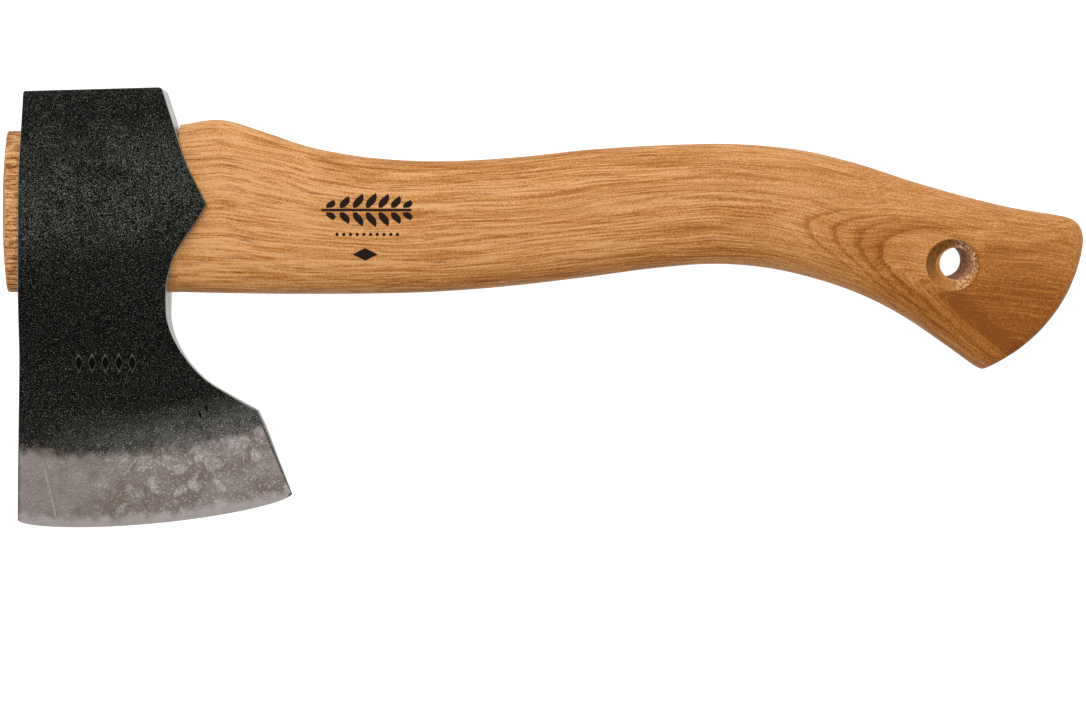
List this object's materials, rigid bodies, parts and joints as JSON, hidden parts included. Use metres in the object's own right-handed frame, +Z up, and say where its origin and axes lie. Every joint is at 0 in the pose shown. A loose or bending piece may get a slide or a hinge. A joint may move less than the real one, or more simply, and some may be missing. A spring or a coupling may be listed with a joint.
{
  "type": "hatchet",
  "caption": "Small forged hatchet with a flat poll, bearded curved blade and side lugs, wedged on a curved wooden handle whose knob has a countersunk hang hole.",
  "frame": {"origin": "on the ground, under the middle of the bounding box, with the hatchet lying on the cheek of its head", "axes": "+X along the handle from the head to the knob, +Y from the cutting edge to the poll, +Z up, square to the cheeks"},
  "size_m": [0.3561, 0.1441, 0.028],
  "materials": {
    "forged_head": "black forge scale, fine speckle, with a bare ground bevel and bare side walls",
    "handle_wood": "oiled honey-coloured wood with a long brown grain",
    "wedge_wood": "bare end-cut wood",
    "wedge_steel": "plain steel, dulled"
  },
  "bodies": {
    "root": {"axe_head": "forged_head", "handle": "handle_wood", "wood_wedge": "wedge_wood", "steel_wedge": "wedge_steel"}
  },
  "joints": []
}
